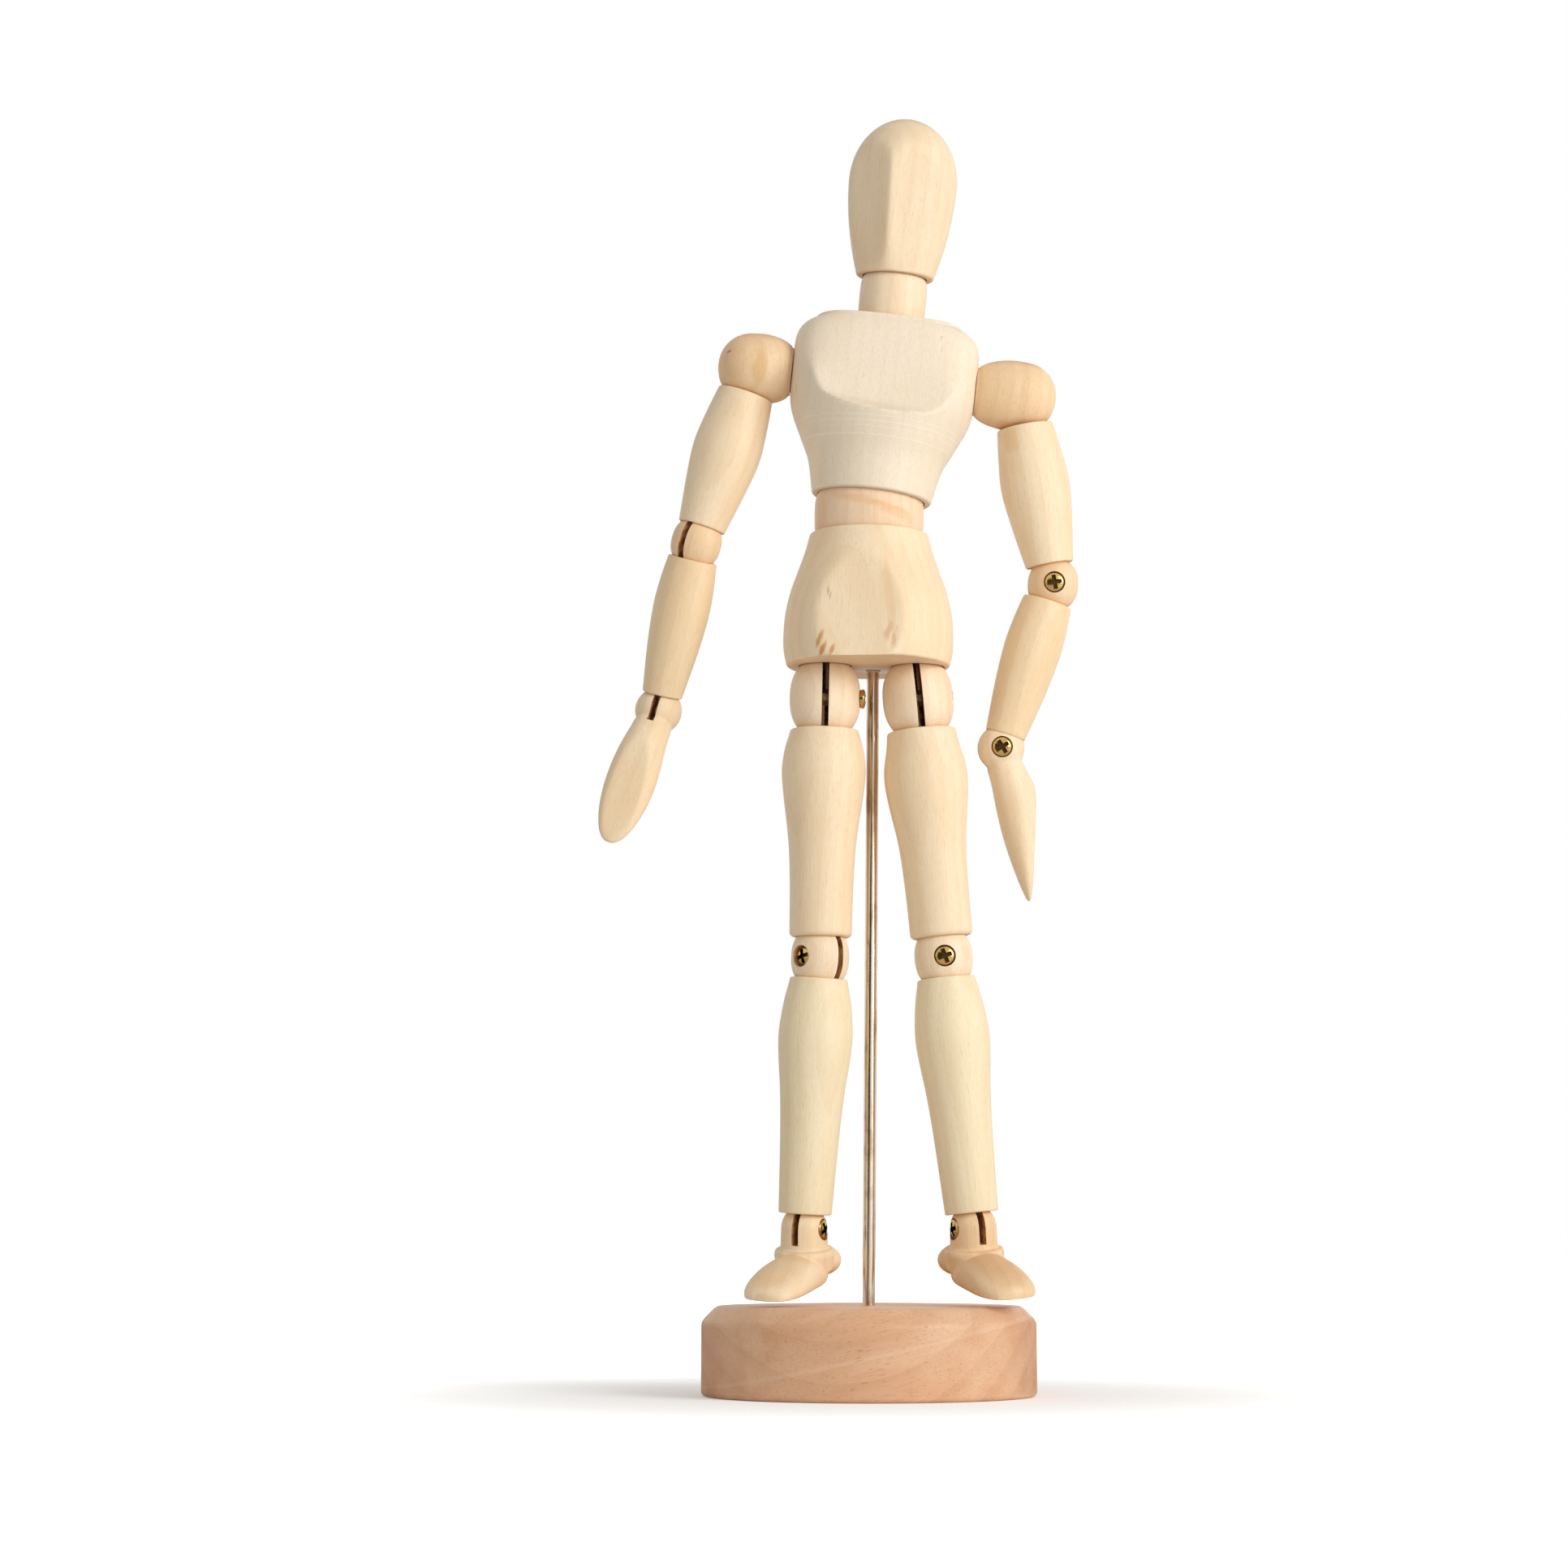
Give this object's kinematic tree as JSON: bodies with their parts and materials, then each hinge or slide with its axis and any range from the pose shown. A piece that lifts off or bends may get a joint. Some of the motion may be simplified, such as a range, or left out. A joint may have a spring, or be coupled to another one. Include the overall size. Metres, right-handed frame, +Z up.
{
  "type": "artist mannequin",
  "caption": "Jointed wooden artist figure on a round base with a support rod: turned limbs on slotted wooden balls with brass screws, steel tabs and inner springs, posable by hand.",
  "frame": {"origin": "centre of the round base's underside", "axes": "+Z up along the support rod, -Y the way the figure faces, +X towards the figure's own left"},
  "size_m": [0.0765, 0.0522, 0.2026],
  "materials": {
    "pale_wood": "smooth sanded, unvarnished pale hardwood",
    "chest_wood": "smooth sanded, greyer pale hardwood",
    "joint_wood": "smooth sanded, slightly pinker hardwood",
    "shin_wood": "smooth sanded, slightly yellow pale hardwood",
    "base_wood": "smooth turned reddish tan hardwood",
    "steel": "plain drawn and stamped steel",
    "brass": "yellow brass-plated, bright"
  },
  "bodies": {
    "base": {"base": "base_wood"},
    "support_rod": {"support_rod": "steel"},
    "pelvis": {"pelvis": "pale_wood", "left_hip_upper_tab": "steel", "right_hip_upper_tab": "steel"},
    "torso_spring": {"torso_spring": "steel"},
    "waist": {"waist": "joint_wood"},
    "chest": {"chest": "chest_wood", "shoulder_spring": "steel"},
    "neck_spring": {"neck_spring": "steel"},
    "neck": {"neck": "joint_wood"},
    "head": {"head": "pale_wood"},
    "left_shoulder_ball": {"left_shoulder_ball": "joint_wood", "left_shoulder_screw": "brass"},
    "left_shoulder_tab": {"left_shoulder_tab": "steel"},
    "left_upper_arm": {"left_upper_arm": "pale_wood", "left_elbow_upper_tab": "steel"},
    "left_elbow_ball": {"left_elbow_ball": "joint_wood", "left_elbow_screw": "brass"},
    "left_elbow_lower_tab": {"left_elbow_lower_tab": "steel"},
    "left_forearm": {"left_forearm": "pale_wood"},
    "left_wrist_tab": {"left_wrist_tab": "steel"},
    "left_hand": {"left_hand": "pale_wood", "left_wrist_screw": "brass"},
    "left_hip_ball": {"left_hip_ball": "joint_wood", "left_hip_screw": "brass"},
    "left_hip_lower_tab": {"left_hip_lower_tab": "steel"},
    "left_thigh": {"left_thigh": "pale_wood", "left_knee_upper_tab": "steel"},
    "left_knee_ball": {"left_knee_ball": "joint_wood", "left_knee_screw": "brass"},
    "left_knee_lower_tab": {"left_knee_lower_tab": "steel"},
    "left_shin": {"left_shin": "shin_wood"},
    "left_ankle_tab": {"left_ankle_tab": "steel"},
    "left_foot": {"left_foot": "pale_wood", "left_ankle_screw": "brass"},
    "right_shoulder_ball": {"right_shoulder_ball": "joint_wood", "right_shoulder_screw": "brass"},
    "right_shoulder_tab": {"right_shoulder_tab": "steel"},
    "right_upper_arm": {"right_upper_arm": "pale_wood", "right_elbow_upper_tab": "steel"},
    "right_elbow_ball": {"right_elbow_ball": "joint_wood", "right_elbow_screw": "brass"},
    "right_elbow_lower_tab": {"right_elbow_lower_tab": "steel"},
    "right_forearm": {"right_forearm": "pale_wood"},
    "right_wrist_tab": {"right_wrist_tab": "steel"},
    "right_hand": {"right_hand": "pale_wood", "right_wrist_screw": "brass"},
    "right_hip_ball": {"right_hip_ball": "joint_wood", "right_hip_screw": "brass"},
    "right_hip_lower_tab": {"right_hip_lower_tab": "steel"},
    "right_thigh": {"right_thigh": "pale_wood", "right_knee_upper_tab": "steel"},
    "right_knee_ball": {"right_knee_ball": "joint_wood", "right_knee_screw": "brass"},
    "right_knee_lower_tab": {"right_knee_lower_tab": "steel"},
    "right_shin": {"right_shin": "shin_wood"},
    "right_ankle_tab": {"right_ankle_tab": "steel"},
    "right_foot": {"right_foot": "pale_wood", "right_ankle_screw": "brass"}
  },
  "joints": [
    {"name": "rod_turn", "type": "hinge", "parent": "base", "child": "support_rod", "pos_m": [0, 0, 0.0139], "axis": [0.0099, 0, 1], "range_deg": [-180, 180]},
    {"name": "pelvis_lift", "type": "slide", "parent": "support_rod", "child": "pelvis", "axis": [0.0099, 0, 1], "range_m": [0, 0.009]},
    {"name": "torso_turn", "type": "hinge", "parent": "pelvis", "child": "torso_spring", "pos_m": [0.00034, -0.004, 0.13808], "axis": [0.0099, 0, 1], "range_deg": [-60, 60]},
    {"name": "torso_bend", "type": "hinge", "parent": "torso_spring", "child": "waist", "pos_m": [0.00034, -0.004, 0.13808], "axis": [-1, 0, 0.0099], "range_deg": [-12, 12]},
    {"name": "torso_lean", "type": "hinge", "parent": "waist", "child": "chest", "pos_m": [0.00034, -0.004, 0.13808], "axis": [0, 1, 0], "range_deg": [-18, 4]},
    {"name": "head_turn", "type": "hinge", "parent": "chest", "child": "neck_spring", "pos_m": [0.00421, -0.004, 0.17332], "axis": [0.1092, 0, 0.994], "range_deg": [-65, 95]},
    {"name": "head_nod", "type": "hinge", "parent": "neck_spring", "child": "neck", "pos_m": [0.00421, -0.004, 0.17332], "axis": [-0.9601, 0.2588, 0.1055], "range_deg": [-13, 21]},
    {"name": "head_tilt", "type": "hinge", "parent": "neck", "child": "head", "pos_m": [0.00421, -0.004, 0.17332], "axis": [0.2643, 0.9636, 0.0411], "range_deg": [-15, 14]},
    {"name": "right_shoulder_turn", "type": "hinge", "parent": "chest", "child": "right_shoulder_ball", "pos_m": [-0.01793, -0.004, 0.16232], "axis": [-0.994, 0, 0.1092], "range_deg": [-41, 184]},
    {"name": "right_shoulder_lift", "type": "hinge", "parent": "right_shoulder_ball", "child": "right_shoulder_tab", "pos_m": [-0.01793, -0.004, 0.16232], "axis": [0.0076, 0.9976, 0.0693], "range_deg": [-6, 78]},
    {"name": "right_shoulder_twist", "type": "hinge", "parent": "right_shoulder_tab", "child": "right_upper_arm", "pos_m": [-0.01793, -0.004, 0.16232], "axis": [-0.3132, 0.0682, -0.9472], "range_deg": [-90, 90]},
    {"name": "right_elbow_upper_bend", "type": "hinge", "parent": "right_upper_arm", "child": "right_elbow_ball", "pos_m": [-0.0272, -0.00198, 0.13428], "axis": [-0.8101, 0.5014, 0.304], "range_deg": [-3, 39]},
    {"name": "right_elbow_lower_bend", "type": "hinge", "parent": "right_elbow_ball", "child": "right_elbow_lower_tab", "pos_m": [-0.0272, -0.00198, 0.13428], "axis": [-0.8101, 0.5014, 0.304], "range_deg": [-3, 39]},
    {"name": "right_elbow_twist", "type": "hinge", "parent": "right_elbow_lower_tab", "child": "right_forearm", "pos_m": [-0.0272, -0.00198, 0.13428], "axis": [-0.2224, 0.217, -0.9505], "range_deg": [-90, 90]},
    {"name": "right_wrist_twist", "type": "hinge", "parent": "right_forearm", "child": "right_wrist_tab", "pos_m": [-0.03331, 0.00399, 0.10814], "axis": [-0.2224, 0.217, -0.9505], "range_deg": [-90, 90]},
    {"name": "right_wrist_bend", "type": "hinge", "parent": "right_wrist_tab", "child": "right_hand", "pos_m": [-0.03331, 0.00399, 0.10814], "axis": [-0.9525, 0.1595, 0.2593], "range_deg": [-72, 8]},
    {"name": "right_hip_upper_bend", "type": "hinge", "parent": "pelvis", "child": "right_hip_ball", "pos_m": [-0.00671, -0.004, 0.10895], "axis": [-0.9998, 0, 0.0204], "range_deg": [-8, 38]},
    {"name": "right_hip_lower_bend", "type": "hinge", "parent": "right_hip_ball", "child": "right_hip_lower_tab", "pos_m": [-0.00671, -0.004, 0.10895], "axis": [-0.9998, 0, 0.0204], "range_deg": [-8, 38]},
    {"name": "right_hip_twist", "type": "hinge", "parent": "right_hip_lower_tab", "child": "right_thigh", "pos_m": [-0.00671, -0.004, 0.10895], "axis": [-0.0204, 0, -0.9998], "range_deg": [-8, 36]},
    {"name": "right_knee_upper_bend", "type": "hinge", "parent": "right_thigh", "child": "right_knee_ball", "pos_m": [-0.00754, -0.004, 0.06786], "axis": [-0.707, -0.7071, 0.0144], "range_deg": [-6, 34]},
    {"name": "right_knee_lower_bend", "type": "hinge", "parent": "right_knee_ball", "child": "right_knee_lower_tab", "pos_m": [-0.00754, -0.004, 0.06786], "axis": [-0.707, -0.7071, 0.0144], "range_deg": [-6, 34]},
    {"name": "right_knee_twist", "type": "hinge", "parent": "right_knee_lower_tab", "child": "right_shin", "pos_m": [-0.00754, -0.004, 0.06786], "axis": [-0.0599, 0.0395, -0.9974], "range_deg": [-8, 45]},
    {"name": "right_ankle_twist", "type": "hinge", "parent": "right_shin", "child": "right_ankle_tab", "pos_m": [-0.01006, -0.00234, 0.02587], "axis": [-0.0599, 0.0395, -0.9974], "range_deg": [-12, 41]},
    {"name": "right_ankle_bend", "type": "hinge", "parent": "right_ankle_tab", "child": "right_foot", "pos_m": [-0.01006, -0.00234, 0.02587], "axis": [-0.9113, 0.4057, 0.0707], "range_deg": [0, 40]},
    {"name": "left_shoulder_turn", "type": "hinge", "parent": "chest", "child": "left_shoulder_ball", "pos_m": [0.02442, -0.004, 0.15767], "axis": [-0.994, 0, 0.1092], "range_deg": [-41, 184]},
    {"name": "left_shoulder_lift", "type": "hinge", "parent": "left_shoulder_ball", "child": "left_shoulder_tab", "pos_m": [0.02442, -0.004, 0.15767], "axis": [-0.0076, -0.9976, -0.0693], "range_deg": [-3, 74]},
    {"name": "left_shoulder_twist", "type": "hinge", "parent": "left_shoulder_tab", "child": "left_upper_arm", "pos_m": [0.02442, -0.004, 0.15767], "axis": [-0.171, -0.067, 0.983], "range_deg": [-90, 90]},
    {"name": "left_elbow_upper_bend", "type": "hinge", "parent": "left_upper_arm", "child": "left_elbow_ball", "pos_m": [0.02965, -0.00195, 0.12759], "axis": [0.0076, 0.9976, 0.0693], "range_deg": [-22, 9]},
    {"name": "left_elbow_lower_bend", "type": "hinge", "parent": "left_elbow_ball", "child": "left_elbow_lower_tab", "pos_m": [0.02965, -0.00195, 0.12759], "axis": [0.0076, 0.9976, 0.0693], "range_deg": [-22, 9]},
    {"name": "left_elbow_twist", "type": "hinge", "parent": "left_elbow_lower_tab", "child": "left_forearm", "pos_m": [0.02965, -0.00195, 0.12759], "axis": [0.3049, -0.0684, 0.9499], "range_deg": [-70, 90]},
    {"name": "left_wrist_twist", "type": "hinge", "parent": "left_forearm", "child": "left_wrist_tab", "pos_m": [0.0213, -0.00008, 0.10156], "axis": [0.3049, -0.0684, 0.9499], "range_deg": [-70, 90]},
    {"name": "left_wrist_bend", "type": "hinge", "parent": "left_wrist_tab", "child": "left_hand", "pos_m": [0.0213, -0.00008, 0.10156], "axis": [-0.0076, -0.9976, -0.0693], "range_deg": [-26, 12]},
    {"name": "left_hip_upper_bend", "type": "hinge", "parent": "pelvis", "child": "left_hip_ball", "pos_m": [0.008, -0.004, 0.1088], "axis": [-0.9957, 0, -0.0929], "range_deg": [-8, 38]},
    {"name": "left_hip_lower_bend", "type": "hinge", "parent": "left_hip_ball", "child": "left_hip_lower_tab", "pos_m": [0.008, -0.004, 0.1088], "axis": [-0.9957, 0, -0.0929], "range_deg": [-8, 38]},
    {"name": "left_hip_twist", "type": "hinge", "parent": "left_hip_lower_tab", "child": "left_thigh", "pos_m": [0.008, -0.004, 0.1088], "axis": [-0.0929, 0, 0.9957], "range_deg": [-8, 36]},
    {"name": "left_knee_upper_bend", "type": "hinge", "parent": "left_thigh", "child": "left_knee_ball", "pos_m": [0.01181, -0.004, 0.06788], "axis": [0, -1, 0], "range_deg": [-8, 32]},
    {"name": "left_knee_lower_bend", "type": "hinge", "parent": "left_knee_ball", "child": "left_knee_lower_tab", "pos_m": [0.01181, -0.004, 0.06788], "axis": [0, -1, 0], "range_deg": [-8, 32]},
    {"name": "left_knee_twist", "type": "hinge", "parent": "left_knee_lower_tab", "child": "left_shin", "pos_m": [0.01181, -0.004, 0.06788], "axis": [-0.1033, 0, 0.9946], "range_deg": [-8, 45]},
    {"name": "left_ankle_twist", "type": "hinge", "parent": "left_shin", "child": "left_ankle_tab", "pos_m": [0.01616, -0.004, 0.02601], "axis": [-0.1033, 0, 0.9946], "range_deg": [-8, 45]},
    {"name": "left_ankle_bend", "type": "hinge", "parent": "left_ankle_tab", "child": "left_foot", "pos_m": [0.01616, -0.004, 0.02601], "axis": [-0.9347, -0.342, -0.0971], "range_deg": [0, 40]}
  ]
}
